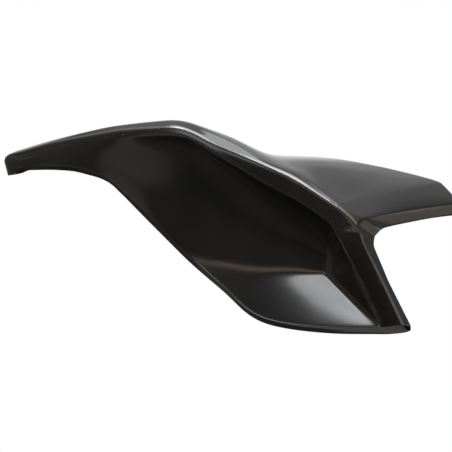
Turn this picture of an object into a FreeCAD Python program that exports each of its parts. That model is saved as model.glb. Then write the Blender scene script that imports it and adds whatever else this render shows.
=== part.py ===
import FreeCAD, Part
import math
import os

# Motorcycle air scoop cover, moulded in one piece as a thin open-backed shell. Millimetres.
# The skin is laid out with x from the nose to the rear, y from the outer side inboard and z up.
# It is then moved so that the origin is the middle of the two screw bosses, on their seat plane.

Vector = FreeCAD.Vector

SIZES = {
    "wall": 2.6,
    # Distance from each fold at which the surface starts to turn.
    "floor_round": 9.0,
    "brow_round": 2.5,
    "shoulder_round": 6.0,
    "crest_round": 4.5,
    "pocket_round": 3.0,
    "band_round": 1.4,
    "edge_round": 1.4,
    # Where the two swell lines stand between crest and inboard edge.
    "flank_share": 0.22,
    "deck_share": 0.6,
    # Nose rings, seen from above as open half ellipses.
    "nose_middle_y": 38.0,
    "nose_sweep": 170.0,
    "nose_fullness": 0.7,
    "nose_bias": 1.53,
    # Lean of the inboard return for each millimetre of its depth.
    "return_lean": 0.2,
    # Largest shift of a corner of the inner skin, in walls.
    "corner_limit": 1.75,
    # Screw bosses on the inner side.
    "boss_radius": 4.5,
    "boss_hole_radius": 2.1,
    "boss_hole_depth": 11.0,
    "boss_spacing": 80.0,
    "boss_bite": 0.5,
    "mount_x": 220.0,
    "mount_y": 42.0,
    "mount_z": 70.0,
}

# Rings round the front of the nose, from its lower rim up.
RING_FIELDS = ("middle_x", "length", "half_width", "near_z", "far_z", "rise")
RINGS = {
    "rim": (15.2, 10.2, 8.6, 109.6, 108.4, -2.8),
    "tip": (19.0, 17.7, 9.3, 109.0, 107.5, 10.8),
    "snout": (21.0, 16.2, 9.8, 108.4, 107.2, 16.7),
}

# Sections that the cover is lofted through behind the nose rings, ending at the notched rear edge.
SECTIONS = ("beak", "nose", "neck", "lead", "chin", "peak", "slope", "mid", "haunch", "pocket", "band",
            "rear")

# Lengthwise lines in the order in which a section crosses them, from the free edge of the lip
# below, over the shoulder, to the free edge of the inboard return.
LINES = ("lip", "hem", "floor", "wall", "hollow", "brow", "shoulder", "crest", "flank", "deck", "inboard",
         "return")

# Places of the drawn lines in each section. The others are worked out between them.
PLACES = {
    "hem": {
        "beak": (23.5, 27.2, 115.5),
        "nose": (61.0, 18.7, 118.8),
        "neck": (88.5, 15.0, 117.2),
        "lead": (116.3, 12.8, 107.0),
        "chin": (150.0, 13.2, 78.0),
        "peak": (177.9, 13.9, 52.4),
        "slope": (211.0, 10.5, 28.0),
        "mid": (243.0, 6.0, 7.0),
        "haunch": (298.0, 3.0, 3.4),
        "pocket": (340.0, 2.2, 7.2),
        "band": (345.0, 2.2, 7.6),
        "rear": (359.0, 3.0, 10.5),
    },
    "floor": {
        "beak": (22.8, 26.9, 118.0),
        "nose": (61.0, 18.3, 121.6),
        "neck": (89.1, 14.4, 121.2),
        "lead": (117.9, 12.6, 110.6),
        "chin": (151.6, 13.3, 81.6),
        "peak": (179.6, 14.4, 57.2),
        "slope": (209.2, 16.7, 46.6),
        "mid": (243.0, 20.2, 42.6),
        "haunch": (267.5, 23.2, 41.4),
        "pocket": (291.0, 26.4, 42.0),
        "band": (325.0, 0.5, 46.0),
        "rear": (344.0, 1.0, 42.0),
    },
    "hollow": {
        "beak": (21.2, 26.7, 122.0),
        "nose": (61.0, 17.6, 129.0),
        "neck": (104.0, 11.3, 135.0),
        "lead": (124.0, 9.5, 138.0),
        "chin": (153.0, 9.0, 140.0),
        "peak": (180.0, 9.0, 139.0),
        "slope": (211.0, 11.0, 124.0),
        "mid": (249.0, 14.0, 103.0),
        "haunch": (276.5, 15.0, 91.0),
        "pocket": (300.0, 12.0, 78.0),
        "band": (308.5, 0.0, 74.5),
        "rear": (327.0, 0.0, 74.0),
    },
    "brow": {
        "beak": (20.0, 27.7, 124.5),
        "nose": (61.0, 18.0, 134.0),
        "neck": (104.0, 10.8, 142.6),
        "lead": (125.0, 7.8, 146.5),
        "chin": (154.0, 4.6, 149.0),
        "peak": (180.5, 2.0, 148.5),
        "slope": (211.0, 0.8, 134.5),
        "mid": (250.0, 0.0, 114.0),
        "haunch": (277.7, 0.0, 100.9),
        "pocket": (302.0, 0.0, 86.0),
        "band": (306.5, 0.0, 80.0),
        "rear": (325.0, 0.0, 80.5),
    },
    "shoulder": {
        "beak": (19.5, 30.0, 127.6),
        "nose": (61.0, 19.5, 139.0),
        "neck": (104.0, 11.5, 147.6),
        "lead": (125.0, 8.5, 151.5),
        "chin": (153.5, 5.4, 154.4),
        "peak": (180.0, 3.0, 155.0),
        "slope": (212.0, 1.5, 141.5),
        "mid": (250.0, 0.0, 128.0),
        "haunch": (277.5, 0.0, 116.3),
        "pocket": (303.0, 0.5, 100.5),
        "band": (309.5, 1.0, 96.0),
        "rear": (323.2, 1.6, 85.6),
    },
    "crest": {
        "beak": (19.5, 35.5, 129.5),
        "nose": (61.0, 25.5, 141.3),
        "neck": (106.0, 18.0, 152.5),
        "lead": (127.0, 15.5, 156.1),
        "chin": (152.5, 12.8, 159.6),
        "peak": (176.0, 11.0, 160.8),
        "slope": (212.0, 7.5, 149.3),
        "mid": (249.5, 4.5, 132.2),
        "haunch": (277.0, 5.0, 121.4),
        "pocket": (302.5, 2.3, 104.0),
        "band": (309.8, 2.4, 99.0),
        "rear": (325.8, 5.4, 90.6),
    },
    "inboard": {
        "beak": (24.0, 48.5, 115.2),
        "nose": (62.0, 47.0, 117.5),
        "neck": (104.0, 47.0, 118.5),
        "lead": (122.0, 48.0, 119.5),
        "chin": (150.0, 49.5, 121.5),
        "peak": (176.0, 51.0, 123.5),
        "slope": (212.0, 55.0, 127.0),
        "mid": (248.0, 59.0, 130.0),
        "haunch": (293.0, 62.0, 128.6),
        "pocket": (330.0, 63.0, 123.3),
        "band": (374.0, 62.5, 113.6),
        "rear": (390.0, 59.5, 97.8),
    },
}

# Further form of each section: depth of the hollowed side behind its chord, and the two swells of
# the inboard side.
FORM_FIELDS = ("belly", "flank_swell", "deck_swell")
FORMS = {
    "beak": (0.0, 6.0, 5.0),
    "nose": (0.0, 8.0, 7.0),
    "neck": (0.0, 7.0, 6.0),
    "lead": (0.8, 6.0, 5.0),
    "chin": (3.0, 4.0, 3.0),
    "peak": (4.4, 3.0, 1.5),
    "slope": (5.8, 5.5, 2.0),
    "mid": (6.4, 1.8, 1.5),
    "haunch": (7.4, -1.0, 2.5),
    "pocket": (6.5, -1.0, 3.0),
    "band": (0.0, 0.0, 3.0),
    "rear": (-0.5, 0.0, 0.0),
}

# Edges: run and drop of the lip below, and depth of the inboard return.
EDGE_FIELDS = ("lip_run", "lip_drop", "return_depth")
EDGES = {
    "beak": (1.2, 3.5, 4.0),
    "nose": (2.2, 4.1, 4.0),
    "neck": (2.2, 4.4, 4.5),
    "lead": (1.8, 3.5, 5.0),
    "chin": (1.5, 4.3, 6.0),
    "peak": (2.2, 4.2, 7.0),
    "slope": (7.0, 5.6, 7.5),
    "mid": (8.0, 5.8, 8.0),
    "haunch": (8.0, 6.3, 8.0),
    "pocket": (8.0, 7.3, 8.0),
    "band": (8.0, 7.3, 8.0),
    "rear": (7.0, 7.6, 7.5),
}

# Return flange along the rear edge, from each line to its free edge.
REAR_FLANGE = {
    "lip": (3.4, 0.2, 1.9),
    "hem": (5.0, 6.5, -1.5),
    "floor": (2.5, 7.5, 0.0),
    "wall": (4.0, 8.0, 0.0),
    "hollow": (7.5, 8.0, -5.5),
    "brow": (9.5, 8.0, -7.6),
    "shoulder": (11.4, 8.0, -9.2),
    "crest": (13.0, 6.8, -9.2),
    "flank": (1.5, 1.5, -9.7),
    "deck": (0.0, 1.0, -8.5),
    "inboard": (1.0, 0.0, -7.5),
    "return": (0.8, -0.8, -0.3),
}

# Folds that run along the cover, and the sections at which it folds across.
ROUNDS = {
    "hem": "edge_round",
    "floor": "floor_round",
    "brow": "brow_round",
    "shoulder": "shoulder_round",
    "crest": "crest_round",
    "inboard": "edge_round",
}
CROSS_ROUNDS = {
    "pocket": "pocket_round",
    "band": "band_round",
    "rear": "edge_round",
}

# Degree, knots and multiplicities of a patch that runs straight in one direction.
STRAIGHT = (1, [0.0, 1.0], [2, 2])

# Damping that holds the mitre of nearly flat corners.
MITRE_DAMPING = 0.02
# Below this bend a line counts as straight. Its slope is at most so many times that of either side.
STRAIGHT_BEND = 1e-6
STEEPEST_SLOPE = 2.0
# Largest share of the way to the next point at which a fold may start, and the shortest such way.
FOLD_SHARE = 0.45
SHORTEST_STEP = 1e-9


def named_values():
    """Every size of the cover with its name."""
    values = dict(SIZES)
    for ring, row in RINGS.items():
        for field, value in zip(RING_FIELDS, row):
            values[f"{ring}_{field}"] = value
    for line, places in PLACES.items():
        for section, place in places.items():
            for axis, value in zip("xyz", place):
                values[f"{section}_{line}_{axis}"] = value
    for section, row in FORMS.items():
        for field, value in zip(FORM_FIELDS, row):
            values[f"{section}_{field}"] = value
    for section, row in EDGES.items():
        for field, value in zip(EDGE_FIELDS, row):
            values[f"{section}_{field}"] = value
    for line, place in REAR_FLANGE.items():
        for axis, value in zip("xyz", place):
            values[f"flange_{line}_{axis}"] = value
    return values


def fill_sheet(sheet, values):
    """Write named values below the rows that the sheet already has."""
    first = len(sheet.getUsedCells()) // 2 + 1
    for row, (name, value) in enumerate(values.items(), first):
        sheet.set(f"A{row}", name)
        sheet.set(f"B{row}", str(value))
        sheet.setAlias(f"B{row}", name)
    sheet.Document.recompute()


class CoverSkin:
    """The moulded shell, laid out from the sizes in a sheet."""

    def __init__(self, sheet):
        self.sheet = sheet

    def size(self, name):
        return float(self.sheet.get(name))

    def place(self, name):
        return Vector(*(self.size(f"{name}_{axis}") for axis in "xyz"))

    def section_row(self, section):
        """Points of one section, from free edge to free edge."""
        drawn = {line: self.place(f"{section}_{line}") for line in PLACES}
        drawn["lip"] = drawn["hem"] + self.lip_step(section)
        halfway = (drawn["floor"] + drawn["hollow"]) / 2
        drawn["wall"] = halfway + Vector(0, self.size(f"{section}_belly"), 0)
        chord = drawn["inboard"] - drawn["crest"]
        outwards = Vector(1, 0, 0).cross(chord)
        outwards.normalize()
        for line in ("flank", "deck"):
            along = chord * self.size(f"{line}_share")
            drawn[line] = drawn["crest"] + along + outwards * self.size(f"{section}_{line}_swell")
        depth = self.size(f"{section}_return_depth")
        drawn["return"] = drawn["inboard"] + Vector(0, depth * self.size("return_lean"), -depth)
        return [drawn[line] for line in LINES]

    def lip_step(self, section):
        """Step from the lower edge to the free edge of its lip, square to the edge in side view."""
        index = SECTIONS.index(section)
        before = self.place(f"{SECTIONS[max(index - 1, 0)]}_hem")
        after = self.place(f"{SECTIONS[min(index + 1, len(SECTIONS) - 1)]}_hem")
        run = Vector(after.x - before.x, 0, after.z - before.z)
        run.normalize()
        down = Vector(run.z, 0, -run.x)
        return Vector(0, self.size(f"{section}_lip_run"), 0) + down * self.size(f"{section}_lip_drop")

    def nose_ring(self, ring):
        """Points of one ring, from free edge to free edge."""
        points = []
        for index in range(len(LINES)):
            share = index / (len(LINES) - 1)
            angle = math.radians(self.size("nose_sweep") * (share ** self.size("nose_bias") - 0.5))
            level = self.size(f"{ring}_near_z") * (1 - share) + self.size(f"{ring}_far_z") * share
            points.append(Vector(
                self.size(f"{ring}_middle_x") - self.size(f"{ring}_length") * math.cos(angle),
                self.size("nose_middle_y") + self.size(f"{ring}_half_width") * math.sin(angle),
                level + self.size(f"{ring}_rise") * math.cos(angle) ** self.size("nose_fullness")))
        return points

    def outer_net(self):
        """Rows of points of the outer skin, from the nose to the free edge of the rear flange."""
        net = [self.nose_ring(ring) for ring in RINGS]
        net += [self.section_row(section) for section in SECTIONS]
        net.append([point + self.place(f"flange_{line}") for point, line in zip(net[-1], LINES)])
        return net

    def inner_net(self, net):
        """The outer net moved inwards by the wall, mitred at its folds."""
        wall = self.size("wall")
        facings = [[[] for _ in row] for row in net]
        tight = []
        for row in range(len(net) - 1):
            for column in range(len(LINES) - 1):
                corners = [(row, column), (row + 1, column), (row + 1, column + 1), (row, column + 1)]
                a, b, c, d = (net[i][j] for i, j in corners)
                facing = (c - a).cross(d - b)
                facing.normalize()
                for i, j in corners:
                    facings[i][j].append(facing)
                if min((c - a).Length, (d - b).Length) < wall:
                    tight.append(corners)
        # A corner smaller than the wall keeps its shape and moves as one.
        for corners in tight:
            shared = [facing for i, j in corners for facing in facings[i][j]]
            for i, j in corners:
                facings[i][j] = shared
        limit = self.size("corner_limit")
        return [[point - mitre(around, limit) * wall for point, around in zip(points, row)]
                for points, row in zip(net, facings)]

    def rounded(self, points):
        """Poles across one section, with three close poles at each fold."""
        poles = []
        for index, line in enumerate(LINES):
            if line in ROUNDS:
                reach = self.size(ROUNDS[line])
                poles.append(towards(points[index], points[index - 1], reach))
                poles.append(points[index])
                poles.append(towards(points[index], points[index + 1], reach))
            else:
                poles.append(points[index])
        return poles

    def creased(self, rows):
        """Rows along the cover, with each cross fold made into a short turn."""
        result = []
        for index, name in enumerate((*RINGS, *SECTIONS, "flange")):
            if name in CROSS_ROUNDS:
                reach = self.size(CROSS_ROUNDS[name])
                for side in (rows[index - 1], rows[index + 1]):
                    result.append([towards(p, q, reach) for p, q in zip(rows[index], side)])
            else:
                result.append(rows[index])
        return result

    def pole_rows(self, net):
        return self.creased([self.rounded(row) for row in net])

    def solid(self):
        """The closed shell between outer and inner skin, as one solid."""
        net = self.outer_net()
        outer_rows = self.pole_rows(net)
        stations = station_places(outer_rows)
        outer = lengthwise_grid(outer_rows, stations)
        inner = lengthwise_grid(self.pole_rows(self.inner_net(net)), stations)
        spans = len(outer[0]) - 3
        along = (3, stations, [4] + [2] * (len(stations) - 2) + [4])
        across = (3, [float(knot) for knot in range(spans + 1)], [4] + [1] * (spans - 1) + [4])
        faces = [patch(outer, along, across), patch(inner, along, across)]
        # Thickness of the wall, shown along the four free edges.
        for end in (0, -1):
            faces.append(patch([outer[end], inner[end]], STRAIGHT, across))
            faces.append(patch([[a[end], b[end]] for a, b in zip(outer, inner)], along, STRAIGHT))
        shell = Part.makeShell(faces)
        shell.sewShape()
        solid = Part.makeSolid(shell)
        if solid.Volume < 0:
            solid.reverse()
        return solid


def mitre(facings, limit):
    """Step that lies one unit behind all the given faces, as nearly as it can."""
    sums = [[MITRE_DAMPING if row == column else 0.0 for column in range(3)] for row in range(3)]
    total = Vector()
    for facing in facings:
        total = total + facing
        for row in range(3):
            for column in range(3):
                sums[row][column] += facing[row] * facing[column]
    matrix = FreeCAD.Matrix(*sums[0], 0, *sums[1], 0, *sums[2], 0, 0, 0, 0, 1)
    step = matrix.inverse().multVec(total)
    return step * min(1.0, limit / step.Length)


def towards(start, end, distance):
    """A point on the way to another, never as far as halfway."""
    span = end - start
    if span.Length < SHORTEST_STEP:
        return start
    return start + span * min(distance / span.Length, FOLD_SHARE)


def station_places(rows):
    """Running mean distance between rows."""
    places = [0.0]
    for row, after in zip(rows, rows[1:]):
        steps = [p.distanceToPoint(q) for p, q in zip(row, after)]
        places.append(places[-1] + sum(steps) / len(steps))
    return places


def slopes_at(points, places):
    """Slope at each point, held to the straighter of its two sides so that no line overshoots."""
    steps = []
    for index in range(len(points) - 1):
        steps.append((points[index + 1] - points[index]) / (places[index + 1] - places[index]))
    padded = [steps[0], steps[0]] + steps + [steps[-1], steps[-1]]
    slopes = []
    for far_before, before, after, far_after in zip(padded, padded[1:], padded[2:], padded[3:]):
        bend_after = (far_after - after).Length
        bend_before = (before - far_before).Length
        total = bend_after + bend_before
        slope = (before + after) / 2
        if total > STRAIGHT_BEND:
            slope = (before * bend_after + after * bend_before) / total
        steepest = STEEPEST_SLOPE * min(before.Length, after.Length)
        if slope.Length > steepest:
            slope = slope * (steepest / slope.Length)
        slopes.append(slope)
    return slopes


def lengthwise_poles(points, places):
    """Cubic poles of a line through points, two for each point."""
    slopes = slopes_at(points, places)
    poles = []
    for index, (point, slope) in enumerate(zip(points, slopes)):
        before = places[index] - places[max(index - 1, 0)]
        after = places[min(index + 1, len(places) - 1)] - places[index]
        poles.append(point - slope * (before / 3))
        poles.append(point + slope * (after / 3))
    return poles


def lengthwise_grid(rows, places):
    """Pole rows of a surface through rows of points."""
    columns = [lengthwise_poles(column, places) for column in zip(*rows)]
    return [list(row) for row in zip(*columns)]


def patch(poles, along, across):
    surface = Part.BSplineSurface()
    surface.buildFromPolesMultsKnots(poles, along[2], across[2], along[1], across[1], False, False,
                                     along[0], across[0])
    return surface.toShape()


def wall_depth(shape, x):
    """How far behind the seat plane the inner skin lies, on a line square to it."""
    probe = Part.makeLine(Vector(x, 0, 0), Vector(x, -shape.BoundBox.YLength, 0))
    return -max(vertex.Y for vertex in probe.common(shape).Vertexes)


def add_post(doc, name, radius, length, x, start):
    """A cylinder along y with all its sizes bound to the sheet."""
    post = doc.addObject("Part::Cylinder", name)
    post.Placement = FreeCAD.Placement(Vector(), FreeCAD.Rotation(Vector(1, 0, 0), -90))
    post.setExpression("Radius", radius)
    post.setExpression("Height", length)
    post.setExpression("Placement.Base.x", x)
    post.setExpression("Placement.Base.y", start)
    return post


doc = FreeCAD.newDocument("air_scoop_cover")
sheet = doc.addObject("Spreadsheet::Sheet", "sizes")
fill_sheet(sheet, named_values())

skin = doc.addObject("Part::Feature", "skin")
skin.Shape = CoverSkin(sheet).solid()
for axis in "xyz":
    skin.setExpression(f"Placement.Base.{axis}", f"-sizes.mount_{axis}")
doc.recompute()

bosses = []
holes = []
for end, sign in (("front", "-"), ("rear", "")):
    x = f"{sign}sizes.boss_spacing / 2"
    half_spacing = float(sheet.get("boss_spacing")) / 2
    depth = wall_depth(skin.Shape, -half_spacing if sign else half_spacing)
    fill_sheet(sheet, {f"{end}_wall_depth": depth})
    length = f"sizes.{end}_wall_depth + sizes.boss_bite * sizes.wall"
    bosses.append(add_post(doc, f"{end}_boss", "sizes.boss_radius", length, x, f"-({length})"))
    holes.append(add_post(doc, f"{end}_hole", "sizes.boss_hole_radius", "sizes.boss_hole_depth", x,
                          "-sizes.boss_hole_depth"))

joined = doc.addObject("Part::MultiFuse", "joined")
joined.Shapes = [skin] + bosses
drilled = doc.addObject("Part::Cut", "front_drilled")
drilled.Base = joined
drilled.Tool = holes[0]
cover = doc.addObject("Part::Cut", "cover")
cover.Label = "scoop_cover"
cover.Base = drilled
cover.Tool = holes[1]
doc.recompute()

for item in doc.Objects:
    if {"Invalid", "Error"} & set(item.State):
        raise RuntimeError(f"{item.Label} did not compute")
    if hasattr(item, "Shape") and (item.Shape.isNull() or not item.Shape.isValid()):
        raise RuntimeError(f"{item.Label} has no valid shape")

os.makedirs("parts", exist_ok=True)
cover.Shape.exportStep(f"parts/{cover.Label}.step")
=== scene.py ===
"""Motorcycle air scoop cover: one thin moulding in satin black plastic, on a plain pale stage.

The moulding is laid out in millimetres, with x from the nose to the rear, y from the outer side inboard
and z up, and then moved so that the origin is the middle of its two screw bosses, on their seat plane.
"""
from __future__ import annotations

import logging
import math
from dataclasses import dataclass, field
from enum import Enum, IntEnum
from typing import Any, Union

import bpy
import numpy as np
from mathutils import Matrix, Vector

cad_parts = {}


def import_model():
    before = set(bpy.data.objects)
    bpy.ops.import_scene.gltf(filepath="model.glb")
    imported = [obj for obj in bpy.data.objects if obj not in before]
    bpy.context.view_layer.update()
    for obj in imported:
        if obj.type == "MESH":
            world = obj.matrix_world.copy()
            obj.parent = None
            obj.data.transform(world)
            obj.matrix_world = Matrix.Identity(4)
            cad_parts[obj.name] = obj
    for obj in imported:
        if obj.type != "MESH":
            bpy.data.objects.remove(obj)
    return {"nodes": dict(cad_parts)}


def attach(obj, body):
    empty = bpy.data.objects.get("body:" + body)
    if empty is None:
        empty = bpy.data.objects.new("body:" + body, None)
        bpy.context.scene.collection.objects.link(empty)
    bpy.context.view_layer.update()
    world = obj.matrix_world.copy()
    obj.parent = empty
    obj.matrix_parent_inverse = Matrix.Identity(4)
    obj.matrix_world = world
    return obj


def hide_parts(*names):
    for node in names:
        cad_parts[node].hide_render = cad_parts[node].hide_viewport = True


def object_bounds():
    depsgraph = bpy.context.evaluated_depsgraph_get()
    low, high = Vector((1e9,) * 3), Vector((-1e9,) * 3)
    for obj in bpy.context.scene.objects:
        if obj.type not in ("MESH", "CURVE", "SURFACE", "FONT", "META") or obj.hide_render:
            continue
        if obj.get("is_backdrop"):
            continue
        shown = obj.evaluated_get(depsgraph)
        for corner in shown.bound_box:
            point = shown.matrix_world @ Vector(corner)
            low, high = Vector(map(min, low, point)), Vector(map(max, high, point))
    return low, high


LOG = logging.getLogger("scoop_cover")

MILLIMETRE = 0.001
TINY = 1e-12
SPLINE_DEGREE = 3
NOISE_MIDDLE = 0.5
SHARPNESS = "sharpness"

Point = tuple[float, float, float]
Colour = tuple[float, float, float]
Range = tuple[float, float]

COOL_WHITE: Colour = (0.97, 1.0, 1.02)


class Line(IntEnum):
    """Lengthwise lines of the skin, in the order in which a section crosses them."""

    LIP = 0
    HEM = 1
    FLOOR = 2
    WALL = 3
    HOLLOW = 4
    BROW = 5
    SHOULDER = 6
    CREST = 7
    FLANK = 8
    DECK = 9
    INBOARD = 10
    RETURN = 11


@dataclass(frozen=True)
class NoseRing:
    """One ring round the front of the nose, an open half ellipse seen from above."""

    middle_x: float
    length: float
    half_width: float
    near_z: float
    far_z: float
    rise: float


@dataclass(frozen=True)
class Section:
    """One section of the skin: its drawn places, its swells and the steps to its free edges."""

    name: str
    hem: Point
    floor: Point
    hollow: Point
    brow: Point
    shoulder: Point
    crest: Point
    inboard: Point
    belly: float
    flank_swell: float
    deck_swell: float
    lip_run: float
    lip_drop: float
    return_depth: float


# Rings round the front of the nose, from its lower rim up.
NOSE_RINGS: tuple[NoseRing, ...] = (
    NoseRing(15.2, 10.2, 8.6, 109.6, 108.4, -2.8),
    NoseRing(19.0, 17.7, 9.3, 109.0, 107.5, 10.8),
    NoseRing(21.0, 16.2, 9.8, 108.4, 107.2, 16.7),
)

# Sections behind the nose rings, ending at the notched rear edge.
SECTIONS: tuple[Section, ...] = (
    Section(
        name="beak",
        hem=(23.5, 27.2, 115.5),
        floor=(22.8, 26.9, 118.0),
        hollow=(21.2, 26.7, 122.0),
        brow=(20.0, 27.7, 124.5),
        shoulder=(19.5, 30.0, 127.6),
        crest=(19.5, 35.5, 129.5),
        inboard=(24.0, 48.5, 115.2),
        belly=0.0,
        flank_swell=6.0,
        deck_swell=5.0,
        lip_run=1.2,
        lip_drop=3.5,
        return_depth=4.0,
    ),
    Section(
        name="nose",
        hem=(61.0, 18.7, 118.8),
        floor=(61.0, 18.3, 121.6),
        hollow=(61.0, 17.6, 129.0),
        brow=(61.0, 18.0, 134.0),
        shoulder=(61.0, 19.5, 139.0),
        crest=(61.0, 25.5, 141.3),
        inboard=(62.0, 47.0, 117.5),
        belly=0.0,
        flank_swell=8.0,
        deck_swell=7.0,
        lip_run=2.2,
        lip_drop=4.1,
        return_depth=4.0,
    ),
    Section(
        name="neck",
        hem=(88.5, 15.0, 117.2),
        floor=(89.1, 14.4, 121.2),
        hollow=(104.0, 11.3, 135.0),
        brow=(104.0, 10.8, 142.6),
        shoulder=(104.0, 11.5, 147.6),
        crest=(106.0, 18.0, 152.5),
        inboard=(104.0, 47.0, 118.5),
        belly=0.0,
        flank_swell=7.0,
        deck_swell=6.0,
        lip_run=2.2,
        lip_drop=4.4,
        return_depth=4.5,
    ),
    Section(
        name="lead",
        hem=(116.3, 12.8, 107.0),
        floor=(117.9, 12.6, 110.6),
        hollow=(124.0, 9.5, 138.0),
        brow=(125.0, 7.8, 146.5),
        shoulder=(125.0, 8.5, 151.5),
        crest=(127.0, 15.5, 156.1),
        inboard=(122.0, 48.0, 119.5),
        belly=0.8,
        flank_swell=6.0,
        deck_swell=5.0,
        lip_run=1.8,
        lip_drop=3.5,
        return_depth=5.0,
    ),
    Section(
        name="chin",
        hem=(150.0, 13.2, 78.0),
        floor=(151.6, 13.3, 81.6),
        hollow=(153.0, 9.0, 140.0),
        brow=(154.0, 4.6, 149.0),
        shoulder=(153.5, 5.4, 154.4),
        crest=(152.5, 12.8, 159.6),
        inboard=(150.0, 49.5, 121.5),
        belly=3.0,
        flank_swell=4.0,
        deck_swell=3.0,
        lip_run=1.5,
        lip_drop=4.3,
        return_depth=6.0,
    ),
    Section(
        name="peak",
        hem=(177.9, 13.9, 52.4),
        floor=(179.6, 14.4, 57.2),
        hollow=(180.0, 9.0, 139.0),
        brow=(180.5, 2.0, 148.5),
        shoulder=(180.0, 3.0, 155.0),
        crest=(176.0, 11.0, 160.8),
        inboard=(176.0, 51.0, 123.5),
        belly=4.4,
        flank_swell=3.0,
        deck_swell=1.5,
        lip_run=2.2,
        lip_drop=4.2,
        return_depth=7.0,
    ),
    Section(
        name="slope",
        hem=(211.0, 10.5, 28.0),
        floor=(209.2, 16.7, 46.6),
        hollow=(211.0, 11.0, 124.0),
        brow=(211.0, 0.8, 134.5),
        shoulder=(212.0, 1.5, 141.5),
        crest=(212.0, 7.5, 149.3),
        inboard=(212.0, 55.0, 127.0),
        belly=5.8,
        flank_swell=5.5,
        deck_swell=2.0,
        lip_run=7.0,
        lip_drop=5.6,
        return_depth=7.5,
    ),
    Section(
        name="mid",
        hem=(243.0, 6.0, 7.0),
        floor=(243.0, 20.2, 42.6),
        hollow=(249.0, 14.0, 103.0),
        brow=(250.0, 0.0, 114.0),
        shoulder=(250.0, 0.0, 128.0),
        crest=(249.5, 4.5, 132.2),
        inboard=(248.0, 59.0, 130.0),
        belly=6.4,
        flank_swell=1.8,
        deck_swell=1.5,
        lip_run=8.0,
        lip_drop=5.8,
        return_depth=8.0,
    ),
    Section(
        name="haunch",
        hem=(298.0, 3.0, 3.4),
        floor=(267.5, 23.2, 41.4),
        hollow=(276.5, 15.0, 91.0),
        brow=(277.7, 0.0, 100.9),
        shoulder=(277.5, 0.0, 116.3),
        crest=(277.0, 5.0, 121.4),
        inboard=(293.0, 62.0, 128.6),
        belly=7.4,
        flank_swell=-1.0,
        deck_swell=2.5,
        lip_run=8.0,
        lip_drop=6.3,
        return_depth=8.0,
    ),
    Section(
        name="pocket",
        hem=(340.0, 2.2, 7.2),
        floor=(291.0, 26.4, 42.0),
        hollow=(300.0, 12.0, 78.0),
        brow=(302.0, 0.0, 86.0),
        shoulder=(303.0, 0.5, 100.5),
        crest=(302.5, 2.3, 104.0),
        inboard=(330.0, 63.0, 123.3),
        belly=6.5,
        flank_swell=-1.0,
        deck_swell=3.0,
        lip_run=8.0,
        lip_drop=7.3,
        return_depth=8.0,
    ),
    Section(
        name="band",
        hem=(345.0, 2.2, 7.6),
        floor=(325.0, 0.5, 46.0),
        hollow=(308.5, 0.0, 74.5),
        brow=(306.5, 0.0, 80.0),
        shoulder=(309.5, 1.0, 96.0),
        crest=(309.8, 2.4, 99.0),
        inboard=(374.0, 62.5, 113.6),
        belly=0.0,
        flank_swell=0.0,
        deck_swell=3.0,
        lip_run=8.0,
        lip_drop=7.3,
        return_depth=8.0,
    ),
    Section(
        name="rear",
        hem=(359.0, 3.0, 10.5),
        floor=(344.0, 1.0, 42.0),
        hollow=(327.0, 0.0, 74.0),
        brow=(325.0, 0.0, 80.5),
        shoulder=(323.2, 1.6, 85.6),
        crest=(325.8, 5.4, 90.6),
        inboard=(390.0, 59.5, 97.8),
        belly=-0.5,
        flank_swell=0.0,
        deck_swell=0.0,
        lip_run=7.0,
        lip_drop=7.6,
        return_depth=7.5,
    ),
)

# Return flange along the rear edge: the step from each line to the flange's free edge.
REAR_FLANGE: dict[Line, Point] = {
    Line.LIP: (3.4, 0.2, 1.9),
    Line.HEM: (5.0, 6.5, -1.5),
    Line.FLOOR: (2.5, 7.5, 0.0),
    Line.WALL: (4.0, 8.0, 0.0),
    Line.HOLLOW: (7.5, 8.0, -5.5),
    Line.BROW: (9.5, 8.0, -7.6),
    Line.SHOULDER: (11.4, 8.0, -9.2),
    Line.CREST: (13.0, 6.8, -9.2),
    Line.FLANK: (1.5, 1.5, -9.7),
    Line.DECK: (0.0, 1.0, -8.5),
    Line.INBOARD: (1.0, 0.0, -7.5),
    Line.RETURN: (0.8, -0.8, -0.3),
}


def unit(vector: np.ndarray) -> np.ndarray:
    """The vector at length 1."""
    return vector / np.linalg.norm(vector)


def towards(start: np.ndarray, end: np.ndarray, reach: float, most: float) -> np.ndarray:
    """Points moved from start towards end.

    Args:
        start: Points to move.
        end: Points to move towards.
        reach: How far to move.
        most: Largest share of the way that may be covered.

    Returns:
        The moved points.
    """
    step = end - start
    length = np.linalg.norm(step, axis=-1, keepdims=True)
    share = np.minimum(reach / np.maximum(length, TINY), most)
    return start + step * share


@dataclass(frozen=True)
class SkinGrids:
    """Matching grids of points on the two faces of the skin, in metres in the part's frame."""

    outer: np.ndarray
    inner: np.ndarray


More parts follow.
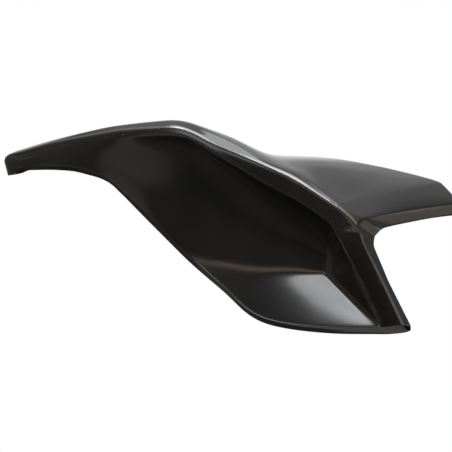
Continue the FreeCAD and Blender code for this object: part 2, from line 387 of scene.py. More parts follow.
@dataclass(frozen=True)
class CoverSkin:
    """The open-backed shell of the cover, lofted through its nose rings and sections."""

    wall: float = 2.6
    # Reach of each fold from its line.
    floor_round: float = 9.0
    brow_round: float = 2.5
    shoulder_round: float = 6.0
    crest_round: float = 4.5
    pocket_round: float = 3.0
    band_round: float = 1.4
    edge_round: float = 1.4
    # Where the two swell lines stand between crest and inboard edge.
    flank_share: float = 0.22
    deck_share: float = 0.6
    # Nose rings, seen from above as open half ellipses.
    nose_middle_y: float = 38.0
    nose_sweep: float = 170.0
    nose_fullness: float = 0.7
    nose_bias: float = 1.53
    # Lean of the inboard return for each millimetre of its depth.
    return_lean: float = 0.2
    # Limits on the inner skin's corners, the folds and the slopes along the cover.
    corner_limit: float = 1.75
    mitre_damping: float = 0.02
    fold_share: float = 0.45
    steepest_slope: float = 2.0
    even_bend: float = 1e-6
    # Middle of the screw bosses, on their seat plane.
    mount: Point = (220.0, 42.0, 70.0)
    # Fineness of the mesh, and its rounded rims.
    step_along: float = 2.2
    step_across: float = 2.4
    fewest_along: int = 2
    fewest_across: int = 3
    rim_round: float = 0.45
    rim_steps: int = 3
    # Radius at which a fold counts as wholly sharp.
    sharp_radius: float = 5.0

    def folds(self) -> dict[Line, float]:
        """Lines at which a section folds, with the reach of each fold."""
        return {
            Line.HEM: self.edge_round,
            Line.FLOOR: self.floor_round,
            Line.BROW: self.brow_round,
            Line.SHOULDER: self.shoulder_round,
            Line.CREST: self.crest_round,
            Line.INBOARD: self.edge_round,
        }

    def cross_folds(self) -> dict[str, float]:
        """Sections at which the skin folds across, with the reach of each fold."""
        return {"pocket": self.pocket_round, "band": self.band_round, "rear": self.edge_round}

    def lip_step(self, index: int) -> np.ndarray:
        """Step from the lower edge to the free edge of its lip, square to the edge in side view.

        Args:
            index: Which section.

        Returns:
            The step, as a vector.
        """
        before = SECTIONS[max(index - 1, 0)].hem
        after = SECTIONS[min(index + 1, len(SECTIONS) - 1)].hem
        run = unit(np.array((after[0] - before[0], 0.0, after[2] - before[2])))
        down = np.array((run[2], 0.0, -run[0]))
        section = SECTIONS[index]
        return np.array((0.0, section.lip_run, 0.0)) + down * section.lip_drop

    def section_row(self, index: int) -> np.ndarray:
        """Points of one section, from free edge to free edge.

        Args:
            index: Which section.

        Returns:
            One point for each lengthwise line.
        """
        section = SECTIONS[index]
        row = np.zeros((len(Line), 3))
        for line in (Line.HEM, Line.FLOOR, Line.HOLLOW, Line.BROW, Line.SHOULDER, Line.CREST, Line.INBOARD):
            row[line] = getattr(section, line.name.lower())
        row[Line.LIP] = row[Line.HEM] + self.lip_step(index)
        row[Line.WALL] = (row[Line.FLOOR] + row[Line.HOLLOW]) / 2 + (0.0, section.belly, 0.0)
        chord = row[Line.INBOARD] - row[Line.CREST]
        outwards = unit(np.cross((1.0, 0.0, 0.0), chord))
        row[Line.FLANK] = row[Line.CREST] + chord * self.flank_share + outwards * section.flank_swell
        row[Line.DECK] = row[Line.CREST] + chord * self.deck_share + outwards * section.deck_swell
        depth = section.return_depth
        row[Line.RETURN] = row[Line.INBOARD] + (0.0, depth * self.return_lean, -depth)
        return row

    def nose_row(self, ring: NoseRing) -> np.ndarray:
        """Points of one ring round the nose, from free edge to free edge.

        Args:
            ring: The ring.

        Returns:
            One point for each lengthwise line.
        """
        share = np.linspace(0.0, 1.0, len(Line))
        angle = np.radians(self.nose_sweep) * (share ** self.nose_bias - 0.5)
        level = ring.near_z * (1.0 - share) + ring.far_z * share
        return np.stack((
            ring.middle_x - ring.length * np.cos(angle),
            self.nose_middle_y + ring.half_width * np.sin(angle),
            level + ring.rise * np.cos(angle) ** self.nose_fullness), axis=-1)

    def outer_net(self) -> np.ndarray:
        """Rows of points of the outer skin.

        Returns:
            The rows, from the nose to the free edge of the rear flange.
        """
        rows = [self.nose_row(ring) for ring in NOSE_RINGS]
        rows += [self.section_row(index) for index in range(len(SECTIONS))]
        rows.append(rows[-1] + np.array([REAR_FLANGE[line] for line in Line]))
        return np.array(rows)

    def mitre(self, facings: list[np.ndarray]) -> np.ndarray:
        """Shift of a corner whose faces each move inwards by 1.

        Args:
            facings: Unit vectors square to the faces that meet there.

        Returns:
            The shift, limited at acute corners.
        """
        total = np.sum(facings, axis=0)
        spread = np.eye(3) * self.mitre_damping + sum(np.outer(facing, facing) for facing in facings)
        shift = np.linalg.solve(spread, total)
        return shift * min(1.0, self.corner_limit / np.linalg.norm(shift))

    def inner_net(self, net: np.ndarray) -> np.ndarray:
        """The outer net moved inwards by the wall and mitred at its folds.

        Args:
            net: Rows of points of the outer skin.

        Returns:
            Rows of points of the inner skin.
        """
        rows, columns = net.shape[:2]
        facings: dict[tuple[int, int], list[np.ndarray]] = {
            (row, column): [] for row in range(rows) for column in range(columns)}
        tight = []
        for row in range(rows - 1):
            for column in range(columns - 1):
                corners = ((row, column), (row + 1, column), (row + 1, column + 1), (row, column + 1))
                first = net[corners[2]] - net[corners[0]]
                second = net[corners[3]] - net[corners[1]]
                for corner in corners:
                    facings[corner].append(unit(np.cross(first, second)))
                if min(np.linalg.norm(first), np.linalg.norm(second)) < self.wall:
                    tight.append(corners)
        for corners in tight:
            pooled = [facing for corner in corners for facing in facings[corner]]
            for corner in corners:
                facings[corner] = pooled
        inner = net.copy()
        for corner, around in facings.items():
            inner[corner] -= self.mitre(around) * self.wall
        return inner

    def folded(self, net: np.ndarray) -> np.ndarray:
        """Rows and columns of a net doubled or trebled where the skin folds.

        Args:
            net: Rows of points of one skin.

        Returns:
            Rows of poles for the smooth surface.
        """
        columns = []
        folds = self.folds()
        for line in Line:
            at = net[:, line]
            if line in folds:
                columns.append(towards(at, net[:, line - 1], folds[line], self.fold_share))
                columns.append(at)
                columns.append(towards(at, net[:, line + 1], folds[line], self.fold_share))
            else:
                columns.append(at)
        poles = np.stack(columns, axis=1)
        rows = list(poles)
        for name, reach in self.cross_folds().items():
            row = len(NOSE_RINGS) + [section.name for section in SECTIONS].index(name)
            rows[row] = [towards(poles[row], poles[row + side], reach, self.fold_share) for side in (-1, 1)]
        return np.array([pole for row in rows for pole in (row if isinstance(row, list) else [row])])

    def lengthwise(self, poles: np.ndarray, stations: np.ndarray) -> np.ndarray:
        """Rows of poles carried smoothly along the cover.

        Args:
            poles: Rows of poles.
            stations: Distance of each row along the cover.

        Returns:
            The rows, about one step apart.
        """
        gaps = np.diff(stations)
        steps = np.diff(poles, axis=0) / gaps[:, None, None]
        padded = np.concatenate((steps[:1], steps[:1], steps, steps[-1:], steps[-1:]))
        count = len(poles)
        far_before, before, after, far_after = (padded[shift:count + shift] for shift in range(4))

        def size(vectors: np.ndarray) -> np.ndarray:
            """Lengths of the vectors, kept as a column."""
            return np.linalg.norm(vectors, axis=-1, keepdims=True)

        bend_after = size(far_after - after)
        bend_before = size(before - far_before)
        total = bend_after + bend_before
        leaning = (before * bend_after + after * bend_before) / np.maximum(total, TINY)
        slopes = np.where(total > self.even_bend, leaning, (before + after) / 2)
        steepest = self.steepest_slope * np.minimum(size(before), size(after))
        slopes = slopes * np.minimum(1.0, steepest / np.maximum(size(slopes), TINY))
        rows = []
        for index, gap in enumerate(gaps):
            pieces = max(self.fewest_along, round(gap / self.step_along))
            for part in range(pieces):
                share = part / pieces
                rows.append(
                    poles[index] * (2 * share ** 3 - 3 * share ** 2 + 1)
                    + poles[index + 1] * (3 * share ** 2 - 2 * share ** 3)
                    + slopes[index] * gap * (share ** 3 - 2 * share ** 2 + share)
                    + slopes[index + 1] * gap * (share ** 3 - share ** 2))
        rows.append(poles[-1])
        return np.array(rows)

    def crosswise_weights(self, places: np.ndarray, count: int) -> np.ndarray:
        """Weights of the poles at places across a section, on an even cubic spline.

        Args:
            places: Where along the spline, with each span 1 long.
            count: Number of poles.

        Returns:
            One row of weights for each place.
        """
        spans = count - SPLINE_DEGREE
        first, last = [0] * SPLINE_DEGREE, [spans] * SPLINE_DEGREE
        knots = np.concatenate((first, np.arange(spans + 1), last)).astype(float)
        weights = np.zeros((len(places), count))
        for row, place in enumerate(places):
            span = min(int(place), spans - 1) + SPLINE_DEGREE
            basis = [1.0]
            for degree in range(1, SPLINE_DEGREE + 1):
                raised = [0.0] * (degree + 1)
                for index, value in enumerate(basis):
                    low = knots[span - degree + 1 + index]
                    high = knots[span + 1 + index]
                    raised[index] += (high - place) * value / (high - low)
                    raised[index + 1] += (place - low) * value / (high - low)
                basis = raised
            weights[row, span - SPLINE_DEGREE:span + 1] = basis
        return weights

    def crosswise_places(self, poles: np.ndarray) -> np.ndarray:
        """Places across a section, closer together where its spans are short.

        Args:
            poles: Rows of poles of the outer skin.

        Returns:
            Places along the spline, with each span 1 long.
        """
        count = poles.shape[1]
        spans = count - SPLINE_DEGREE
        joints = np.einsum("pc,rcx->rpx", self.crosswise_weights(np.arange(spans + 1.0), count), poles)
        longest = np.linalg.norm(np.diff(joints, axis=1), axis=-1).max(axis=0)
        places = []
        for span, length in enumerate(longest):
            pieces = max(self.fewest_across, math.ceil(length / self.step_across))
            places.extend(span + part / pieces for part in range(pieces))
        places.append(float(spans))
        return np.array(places)

    def grids(self) -> SkinGrids:
        """Points of both faces of the skin.

        Returns:
            The two matching grids.
        """
        outer_net = self.outer_net()
        outer = self.folded(outer_net)
        inner = self.folded(self.inner_net(outer_net))
        gaps = np.linalg.norm(np.diff(outer, axis=0), axis=-1).mean(axis=1)
        stations = np.concatenate(([0.0], np.cumsum(gaps)))
        weights = self.crosswise_weights(self.crosswise_places(outer), outer.shape[1])
        faces = []
        for poles in (outer, inner):
            surface = np.einsum("pc,rcx->rpx", weights, self.lengthwise(poles, stations))
            faces.append((surface - np.array(self.mount)) * MILLIMETRE)
        return SkinGrids(outer=faces[0], inner=faces[1])

    def sharpness(self, grid: np.ndarray) -> np.ndarray:
        """How sharply a face bulges at each of its points.

        Args:
            grid: Points of one face, in metres.

        Returns:
            0 on flat or hollow stretches, rising to 1 on the sharpest folds.
        """
        along = np.gradient(grid, axis=0)
        across = np.gradient(grid, axis=1)
        normal = np.cross(along, across)
        normal /= np.maximum(np.linalg.norm(normal, axis=-1, keepdims=True), TINY)
        bends = []
        for axis, step in ((0, along), (1, across)):
            turn = np.gradient(normal, axis=axis)
            bends.append((turn * step).sum(axis=-1) / np.maximum((step * step).sum(axis=-1), TINY))
        bend = np.maximum(bends[0], bends[1])
        return np.clip(bend * self.sharp_radius * MILLIMETRE, 0.0, 1.0)


@dataclass(frozen=True)
class ScrewBoss:
    """A round post on the inner side, with a blind hole for a screw."""

    radius: float = 4.5
    hole_radius: float = 2.1
    hole_depth: float = 11.0
    bite: float = 0.5
    mouth_round: float = 0.5
    side_start: float = 1.5
    segments: int = 56
    # How the height of the skin is taken from its nearest points.
    neighbours: int = 6
    nearness: float = 1e-6

    def rings(self) -> list[tuple[float, float]]:
        """Rings of points that the post is skinned over.

        Returns:
            Radius and depth below the seat of each ring, from the post's side to the hole's floor.
        """
        soft = self.mouth_round
        slope = soft * (1.0 - math.sqrt(0.5))
        return [
            (self.radius, self.side_start),
            (self.radius, soft),
            (self.radius - slope, slope),
            (self.radius - soft, 0.0),
            (self.hole_radius + soft, 0.0),
            (self.hole_radius + slope, slope),
            (self.hole_radius, soft),
            (self.hole_radius, self.hole_depth - soft),
            (self.hole_radius - soft, self.hole_depth),
        ]

    def wall_height(self, inner: np.ndarray, place: np.ndarray) -> float:
        """Height of the inner skin beside a place.

        Args:
            inner: Points of the inner skin, in metres.
            place: The place, along X and Z.

        Returns:
            The skin's Y there.
        """
        points = inner.reshape(-1, 3)
        distance = np.hypot(points[:, 0] - place[0], points[:, 2] - place[1])
        nearest = np.argsort(distance)[:self.neighbours]
        weight = 1.0 / (distance[nearest] + self.nearness) ** 2
        return float((points[nearest, 1] * weight).sum() / weight.sum())

    def shell(self, middle_x: float, inner: np.ndarray) -> tuple[list[Point], list[tuple[int, ...]]]:
        """Points and faces of one post, standing on the inner skin.

        Args:
            middle_x: Place of its axis, in metres.
            inner: Points of the inner skin, in metres.

        Returns:
            Points in metres and faces as rows of point numbers.
        """
        points: list[Point] = []
        faces: list[tuple[int, ...]] = []
        turns = [2.0 * math.pi * index / self.segments for index in range(self.segments)]
        for turn in turns:
            radius = self.radius * MILLIMETRE
            place = np.array((middle_x + radius * math.cos(turn), radius * math.sin(turn)))
            foot = self.wall_height(inner, place) - self.bite * MILLIMETRE
            points.append((place[0], foot, place[1]))
        for ring_radius, depth in self.rings():
            radius = ring_radius * MILLIMETRE
            points += [(middle_x + radius * math.cos(turn), -depth * MILLIMETRE, radius * math.sin(turn))
                       for turn in turns]
        for ring in range(len(self.rings())):
            for index in range(self.segments):
                following = (index + 1) % self.segments
                low, high = ring * self.segments, (ring + 1) * self.segments
                faces.append((low + index, high + index, high + following, low + following))
        last = len(self.rings()) * self.segments
        faces.append(tuple(range(last, last + self.segments)))
        faces.append(tuple(reversed(range(self.segments))))
        return points, faces


@dataclass(frozen=True)
class Clouding:
    """Grade of a cloudy noise: clouds in each metre, octaves and strength of the finer octaves."""

    scale: float
    detail: float
    roughness: float


class NodeBench:
    """Places nodes in one tree, sets them and links them."""

    def __init__(self, tree: bpy.types.NodeTree) -> None:
        """Start with an empty tree."""
        self.tree = tree
        tree.nodes.clear()

    def add(self, kind: str, settings: dict[str, Any], sockets: dict[Union[str, int], Any]) -> bpy.types.Node:
        """Place one node.

        Args:
            kind: The node's type.
            settings: Its own properties.
            sockets: Values or links of its inputs, by name or number.

        Returns:
            The node.
        """
        node = self.tree.nodes.new(kind)
        for name, setting in settings.items():
            setattr(node, name, setting)
        for key, value in sockets.items():
            self.feed(node.inputs[key], value)
        return node

    def feed(self, socket: bpy.types.NodeSocket, value: Any) -> None:
        """Set one input, or link it.

        Args:
            socket: The input.
            value: A number, a tuple, a wrapped number or an output.
        """
        if isinstance(value, Value):
            self.tree.links.new(value.socket, socket)
        elif isinstance(value, bpy.types.NodeSocket):
            self.tree.links.new(value, socket)
        else:
            socket.default_value = value

    def mixed(self, share: Value, first: Any, second: Any) -> bpy.types.NodeSocket:
        """A colour between two colours.

        Args:
            share: How much of the second.
            first: Colour or link.
            second: Colour or link.

        Returns:
            The mixed colour.
        """
        node = self.add("ShaderNodeMix", {"data_type": "RGBA"}, {0: share, 6: first, 7: second})
        return node.outputs[2]

    def noise(self, place: bpy.types.NodeSocket, grade: Clouding) -> Value:
        """Cloudy noise over a place.

        Args:
            place: Coordinates.
            grade: How coarse and how broken it is.

        Returns:
            The noise, from 0 to 1.
        """
        node = self.add("ShaderNodeTexNoise", {}, {
            "Vector": place, "Scale": grade.scale, "Detail": grade.detail, "Roughness": grade.roughness})
        return Value(self, node.outputs[0])


class Value:
    """A number carried by a socket. Arithmetic on it adds Math nodes."""

    def __init__(self, bench: NodeBench, socket: bpy.types.NodeSocket) -> None:
        """Wrap an output of the bench's tree."""
        self.bench = bench
        self.socket = socket

    def _math(self, operation: str, first: Operand, second: Operand) -> Value:
        """The result of one Math node."""
        node = self.bench.add("ShaderNodeMath", {"operation": operation}, {0: first, 1: second})
        return Value(self.bench, node.outputs[0])

    def __add__(self, other: Operand) -> Value:
        """Sum."""
        return self._math("ADD", self, other)

    def __radd__(self, other: Operand) -> Value:
        """Sum, from the right."""
        return self._math("ADD", other, self)

    def __sub__(self, other: Operand) -> Value:
        """Difference."""
        return self._math("SUBTRACT", self, other)

    def __rsub__(self, other: Operand) -> Value:
        """Difference, from the right."""
        return self._math("SUBTRACT", other, self)

    def __mul__(self, other: Operand) -> Value:
        """Product."""
        return self._math("MULTIPLY", self, other)

    def __rmul__(self, other: Operand) -> Value:
        """Product, from the right."""
        return self._math("MULTIPLY", other, self)

    def between(self, low: float, high: float) -> Value:
        """A soft step from 0 at low to 1 at high. Low may be the larger."""
        node = self.bench.add("ShaderNodeMapRange", {"interpolation_type": "SMOOTHSTEP"}, {
            "Value": self, "From Min": low, "From Max": high})
        return Value(self.bench, node.outputs[0])


Operand = Union[Value, float]


@dataclass(frozen=True)
class MouldedPlastic:
    """Satin black plastic as it leaves the mould, a little rubbed on its folds."""

    name: str = "satin_black_plastic"
    body: Colour = (0.0034, 0.0034, 0.0035)
    cloud: Colour = (0.0052, 0.0051, 0.0050)
    rubbed: Colour = (0.0600, 0.0590, 0.0570)
    specular: float = 0.5
    grain_depth: float = 0.000008
    # Roughness of the bare plastic, and what each pattern adds to it.
    roughness: float = 0.17
    cloud_roughness: float = 0.08
    grain_roughness: float = 0.06
    wear_roughness: float = 0.08
    fold_roughness: float = 0.05
    coat_roughness: float = 0.16
    # Patterns.
    cloud_grade: Clouding = Clouding(scale=16.0, detail=3.0, roughness=0.55)
    flow_grade: Clouding = Clouding(scale=55.0, detail=4.0, roughness=0.6)
    grain_grade: Clouding = Clouding(scale=1500.0, detail=2.0, roughness=0.5)
    scuff_grade: Clouding = Clouding(scale=520.0, detail=5.0, roughness=0.7)
    # Where each pattern sets in.
    cloud_rise: Range = (0.35, 0.7)
    flow_rise: Range = (0.50, 0.66)
    scuff_rise: Range = (0.56, 0.72)
    # Sharpness at which rubbing sets in and stops, and at which a fold turns rougher and glossier.
    rub_rise: Range = (0.12, 0.35)
    rub_fall: Range = (0.85, 0.55)
    fold_rise: Range = (0.2, 0.8)
    coat_rise: Range = (0.42, 0.80)
    faint_rub: float = 0.08

    def material(self) -> bpy.types.Material:
        """The finish as a material.

        Returns:
            The material.
        """
        material = bpy.data.materials.new(self.name)
        material.use_nodes = True
        bench = NodeBench(material.node_tree)
        place = bench.add("ShaderNodeTexCoord", {}, {}).outputs["Object"]
        folds = bench.add("ShaderNodeAttribute", {"attribute_name": SHARPNESS}, {})
        sharp = Value(bench, folds.outputs["Fac"])
        clouds = bench.noise(place, self.cloud_grade)
        flow = bench.noise(place, self.flow_grade)
        grain = bench.noise(place, self.grain_grade)
        scuffs = bench.noise(place, self.scuff_grade).between(*self.scuff_rise)
        rubbing = sharp.between(*self.rub_rise) * sharp.between(*self.rub_fall)
        rubbing = rubbing * flow.between(*self.flow_rise)
        wear = rubbing * (self.faint_rub + scuffs * (1.0 - self.faint_rub))
        colour = bench.mixed(clouds.between(*self.cloud_rise), (*self.body, 1.0), (*self.cloud, 1.0))
        colour = bench.mixed(wear, colour, (*self.rubbed, 1.0))
        roughness = (self.roughness
                     + (clouds - NOISE_MIDDLE) * self.cloud_roughness
                     + (grain - NOISE_MIDDLE) * self.grain_roughness
                     + wear * self.wear_roughness
                     + sharp.between(*self.fold_rise) * self.fold_roughness)
        bump = bench.add("ShaderNodeBump", {}, {
            "Strength": 1.0, "Distance": self.grain_depth, "Height": grain})
        shader = bench.add("ShaderNodeBsdfPrincipled", {}, {
            "Base Color": colour,
            "Roughness": roughness,
            "Specular IOR Level": self.specular,
            "Coat Weight": sharp.between(*self.coat_rise),
            "Coat Roughness": self.coat_roughness,
            "Normal": bump.outputs[0],
        })
        bench.add("ShaderNodeOutputMaterial", {}, {"Surface": shader.outputs[0]})
        return material


@dataclass(frozen=True)
class ScoopCover:
    """The whole moulding: its skin and the two screw bosses behind it."""

    name: str = "moulded_cover"
    skin: CoverSkin = field(default_factory=CoverSkin)
    boss: ScrewBoss = field(default_factory=ScrewBoss)
    finish: MouldedPlastic = field(default_factory=MouldedPlastic)
    boss_spacing: float = 80.0

    def mesh(self, low: Vector, high: Vector) -> bpy.types.Mesh:
        """The moulding's mesh, in metres in the part's frame.

        Args:
            low: Lowest corner of the part's box.
            high: Highest corner of the part's box.

        Returns:
            The mesh, with its rims weighted for rounding.
        """
        grids = self.skin.grids()
        rows, columns = grids.outer.shape[:2]
        count = rows * columns
        outer = np.arange(count).reshape(rows, columns)
        inner = outer + count
        around = np.concatenate((outer[0, :-1], outer[:-1, -1], outer[-1, :0:-1], outer[:0:-1, 0]))
        onward = np.roll(around, -1)
        quads = np.concatenate((
            np.stack((outer[:-1, :-1], outer[1:, :-1], outer[1:, 1:], outer[:-1, 1:]), -1).reshape(-1, 4),
            np.stack((inner[:-1, :-1], inner[:-1, 1:], inner[1:, 1:], inner[1:, :-1]), -1).reshape(-1, 4),
            np.stack((around, onward, onward + count, around + count), -1)))
        points = [tuple(point) for grid in (grids.outer, grids.inner) for point in grid.reshape(-1, 3)]
        faces: list[tuple[int, ...]] = [tuple(quad) for quad in quads.tolist()]
        for middle_x in (-self.boss_spacing / 2, self.boss_spacing / 2):
            boss_points, boss_faces = self.boss.shell(middle_x * MILLIMETRE, grids.inner)
            faces += [tuple(len(points) + index for index in face) for face in boss_faces]
            points += boss_points
        mesh = bpy.data.meshes.new(self.name)
        mesh.from_pydata(np.clip(points, low, high).tolist(), [], faces)
        mesh.update()
        sharp = np.zeros(len(points), dtype=np.float32)
        sharp[:count] = self.skin.sharpness(grids.outer).ravel()
        mesh.attributes.new(SHARPNESS, "FLOAT", "POINT").data.foreach_set("value", sharp)
        self.weight_rims(mesh, [around, around + count])
        mesh.shade_smooth()
        return mesh

    def weight_rims(self, mesh: bpy.types.Mesh, loops: list[np.ndarray]) -> None:
        """Mark the edges of the free rims for rounding.

        Args:
            mesh: The moulding's mesh.
            loops: Point numbers round each rim.
        """
        rims = set()
        for loop in loops:
            for start, end in zip(loop.tolist(), np.roll(loop, -1).tolist()):
                rims.add((min(start, end), max(start, end)))
        ends = np.zeros(len(mesh.edges) * 2, dtype=np.int32)
        mesh.edges.foreach_get("vertices", ends)
        pairs = np.sort(ends.reshape(-1, 2), axis=1).tolist()
        weights = np.array([tuple(pair) in rims for pair in pairs], dtype=np.float32)
        mesh.attributes.new("bevel_weight_edge", "FLOAT", "EDGE").data.foreach_set("value", weights)

    def build(self, low: Vector, high: Vector) -> bpy.types.Object:
        """Build, round and dress the moulding.

        Args:
            low: Lowest corner of the part's box.
            high: Highest corner of the part's box.

        Returns:
            The finished piece, riding on the part's body.
        """
        piece = bpy.data.objects.new(self.name, self.mesh(low, high))
        bpy.context.collection.objects.link(piece)
        rounding = piece.modifiers.new("rounded_rims", "BEVEL")
        rounding.limit_method = "WEIGHT"
        rounding.width = self.skin.rim_round * MILLIMETRE
        rounding.segments = self.skin.rim_steps
        rounding.use_clamp_overlap = False
        piece.data.materials.append(self.finish.material())
        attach(piece, "root")
        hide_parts("scoop_cover")
        return piece


@dataclass(frozen=True)
class LampPlan:
    """One soft lamp: direction from the part, distance and size in metres, brightness and colour."""

    way: Point
    distance: float
    width: float
    height: float
    brightness: float
    colour: Colour = COOL_WHITE


class Panel(Enum):
    """The soft lamps round the part."""

    KEY = LampPlan((-0.07, -0.47, 0.88), 1.3, 1.30, 1.00, 6.0)
    LEFT = LampPlan((-0.35, -0.66, 0.67), 1.3, 0.30, 0.16, 6.0)
    CORE = LampPlan((0.16, -0.72, 0.68), 1.3, 0.44, 0.14, 15.0)
    GLINT = LampPlan((-0.37, -0.50, 0.78), 1.3, 0.20, 0.20, 14.0)
    RIDGE = LampPlan((0.04, -0.66, 0.75), 0.47, 0.16, 0.05, 1.5)
    RIGHT = LampPlan((0.38, -0.74, 0.56), 1.3, 0.36, 0.22, 6.0, (1.0, 0.80, 0.60))
    FRONT = LampPlan((0.04, -0.97, 0.25), 1.6, 0.54, 0.30, 1.6, (1.0, 0.70, 0.42))
    STRIP = LampPlan((-0.36, -0.90, 0.23), 1.6, 0.56, 0.32, 2.8)
    SIDE = LampPlan((0.82, -0.57, -0.04), 1.3, 0.90, 1.00, 1.0, (1.0, 0.86, 0.72))
    LOW = LampPlan((-0.66, -0.75, -0.08), 0.22, 0.090, 0.050, 0.45, (1.0, 0.90, 0.84))


@dataclass(frozen=True)
class GlowPlan:
    """One soft glow that gloss shows: axis, rise along it, rise and fall in height, and brightness."""

    axis: str
    along: Range
    rise: Range
    fall: Range
    brightness: float


class Glow(Enum):
    """The soft glows of the surround."""

    REAR = GlowPlan("Y", (0.50, 0.95), (-0.32, -0.08), (0.86, 0.72), 1.15)
    LEFT = GlowPlan("X", (-0.50, -0.85), (-0.90, -0.65), (0.50, 0.30), 0.18)
    RIGHT = GlowPlan("X", (0.70, 0.90), (-0.50, -0.30), (0.70, 0.50), 0.50)
    BELOW = GlowPlan("Y", (-0.20, -0.50), (-0.80, -0.65), (-0.40, -0.55), 0.10)


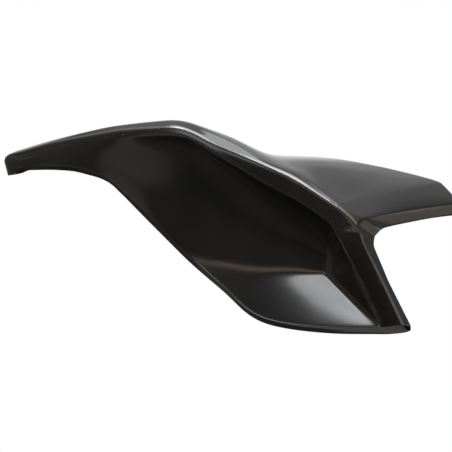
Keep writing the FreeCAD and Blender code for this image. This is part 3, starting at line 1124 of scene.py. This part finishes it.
@dataclass(frozen=True)
class Studio:
    """Pale floor, white surround and soft lamps."""

    floor_drop: float = 1.4
    floor_radius: float = 0.62
    floor_sides: int = 64
    floor_clear: float = 0.30
    floor_faded: float = 0.60
    floor_colour: Colour = (0.80, 0.77, 0.73)
    floor_lift: float = 0.25
    ambient: float = 0.35
    # Brightness of the surround in gloss, by the height of the direction.
    glow: tuple[Range, ...] = (
        (-0.5, 0.05), (-0.17, 0.12), (0.17, 0.12), (0.5, 0.12), (0.72, 0.95), (0.87, 1.55))
    # Warm tint of the surround, below and in front.
    warm_side: Colour = (1.0, 0.92, 0.82)
    warm_below: Range = (0.65, 0.25)
    warm_front: Range = (0.4, -0.2)

    def floor(self, low_z: float) -> bpy.types.Object:
        """A pale floor below the part that fades into the white surround.

        Args:
            low_z: Height of the part's lowest point.

        Returns:
            The floor.
        """
        level = low_z - self.floor_drop
        mesh = bpy.data.meshes.new("pale_floor")
        turns = [2.0 * math.pi * index / self.floor_sides for index in range(self.floor_sides)]
        radius = self.floor_radius
        rim = [(radius * math.cos(turn), radius * math.sin(turn), level) for turn in turns]
        mesh.from_pydata(rim, [], [tuple(range(self.floor_sides))])
        piece = bpy.data.objects.new("pale_floor", mesh)
        bpy.context.collection.objects.link(piece)
        material = bpy.data.materials.new("pale_floor")
        material.use_nodes = True
        bench = NodeBench(material.node_tree)
        seen = Value(bench, bench.add("ShaderNodeLightPath", {}, {}).outputs["Is Camera Ray"])
        place = bench.add("ShaderNodeTexCoord", {}, {}).outputs["Object"]
        span = bench.add("ShaderNodeVectorMath", {"operation": "MULTIPLY"}, {0: place, 1: (1.0, 1.0, 0.0)})
        away = bench.add("ShaderNodeVectorMath", {"operation": "LENGTH"}, {0: span.outputs[0]})
        faded = Value(bench, away.outputs["Value"]).between(self.floor_clear, self.floor_faded)
        matt = bench.add("ShaderNodeBsdfDiffuse", {}, {"Color": (*self.floor_colour, 1.0)})
        lift = bench.add("ShaderNodeEmission", {}, {"Strength": seen * self.floor_lift})
        lifted = bench.add("ShaderNodeAddShader", {}, {0: matt.outputs[0], 1: lift.outputs[0]})
        white = bench.add("ShaderNodeEmission", {}, {"Strength": 1.0})
        mixed = bench.add("ShaderNodeMixShader", {}, {
            0: seen * faded, 1: lifted.outputs[0], 2: white.outputs[0]})
        bench.add("ShaderNodeOutputMaterial", {}, {"Surface": mixed.outputs[0]})
        mesh.materials.append(material)
        piece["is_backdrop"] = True
        return piece

    def surround(self) -> None:
        """White surround that lights softly and shows in gloss mostly from behind and above."""
        world = bpy.data.worlds.new("white_surround")
        world.use_nodes = True
        bench = NodeBench(world.node_tree)
        path = bench.add("ShaderNodeLightPath", {}, {}).outputs
        seen = Value(bench, path["Is Camera Ray"])
        clear = Value(bench, path["Is Transmission Ray"])
        gloss = Value(bench, path["Is Glossy Ray"])
        way = bench.add("ShaderNodeTexCoord", {}, {}).outputs["Generated"]
        parts = bench.add("ShaderNodeSeparateXYZ", {}, {"Vector": way}).outputs
        height = Value(bench, parts["Z"])
        glow = gloss * self.glow[0][1]
        for (low, dim), (high, bright) in zip(self.glow, self.glow[1:]):
            glow = glow + gloss * height.between(low, high) * (bright - dim)
        lit = 1.0 - (seen + clear + gloss)
        strength = seen + clear + glow + lit * self.ambient
        for side in Glow:
            plan = side.value
            spread = Value(bench, parts[plan.axis]).between(*plan.along)
            spread = spread * height.between(*plan.rise) * height.between(*plan.fall)
            strength = strength + gloss * spread * plan.brightness
        forward = Value(bench, parts["Y"]).between(*self.warm_front)
        warm = gloss * height.between(*self.warm_below) * forward
        colour = bench.mixed(warm, (1.0, 1.0, 1.0, 1.0), (*self.warm_side, 1.0))
        background = bench.add("ShaderNodeBackground", {}, {"Color": colour, "Strength": strength})
        bench.add("ShaderNodeOutputWorld", {}, {"Surface": background.outputs[0]})
        bpy.context.scene.world = world

    def lamp(self, panel: Panel, middle: Vector) -> bpy.types.Object:
        """One soft lamp that faces the part.

        Args:
            panel: Which lamp.
            middle: Middle of the part.

        Returns:
            The lamp.
        """
        plan = panel.value
        data = bpy.data.lights.new(f"{panel.name.lower()}_panel", "AREA")
        data.shape = "RECTANGLE"
        data.size = plan.width
        data.size_y = plan.height
        data.color = plan.colour
        data.energy = plan.brightness * math.pi * plan.width * plan.height
        lamp = bpy.data.objects.new(data.name, data)
        bpy.context.collection.objects.link(lamp)
        towards_part = -Vector(plan.way).normalized()
        lamp.location = middle - towards_part * plan.distance
        lamp.rotation_euler = towards_part.to_track_quat("-Z", "Y").to_euler()
        lamp.visible_camera = False
        return lamp

    def build(self, low: Vector, high: Vector) -> None:
        """Set the whole stage.

        Args:
            low: Lowest corner of the part's box.
            high: Highest corner of the part's box.
        """
        self.floor(low.z)
        self.surround()
        for panel in Panel:
            self.lamp(panel, (low + high) / 2)


@dataclass(frozen=True)
class PhotoCamera:
    """The camera at the photograph's viewing angle, in degrees, metres and pixels."""

    azimuth: float = 20.0
    elevation: float = 9.0
    distance: float = 1.1
    target: Point = (-0.010, -0.022, 0.006)
    focal_pixels: float = 1375.0
    frame_pixels: float = 452.0
    sensor: float = 36.0

    def build(self) -> bpy.types.Object:
        """Place the camera and make it the scene's own.

        Returns:
            The camera.
        """
        data = bpy.data.cameras.new("photo_camera")
        data.sensor_fit = "HORIZONTAL"
        data.sensor_width = self.sensor
        data.lens = self.sensor * self.focal_pixels / self.frame_pixels
        camera = bpy.data.objects.new("photo_camera", data)
        bpy.context.collection.objects.link(camera)
        turn, rise = math.radians(self.azimuth), math.radians(self.elevation)
        back = Vector((math.sin(turn) * math.cos(rise), -math.cos(turn) * math.cos(rise), math.sin(rise)))
        camera.location = Vector(self.target) + back * self.distance
        camera.rotation_euler = (-back).to_track_quat("-Z", "Y").to_euler()
        bpy.context.scene.camera = camera
        return camera


def main() -> None:
    """Load the frame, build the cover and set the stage."""
    logging.basicConfig(level=logging.INFO, format="%(name)s: %(message)s")
    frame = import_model()
    cad_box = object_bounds()
    LOG.info("solids: %s", ", ".join(frame["nodes"]))
    cover = ScoopCover().build(*cad_box)
    LOG.info("%s: %d faces", cover.name, len(cover.data.polygons))
    Studio().build(*cad_box)
    camera = PhotoCamera().build()
    LOG.info("%s: lens %.1f mm", camera.name, camera.data.lens)
    bpy.context.scene.view_settings.view_transform = "Standard"


if __name__ == "__main__":
    main()
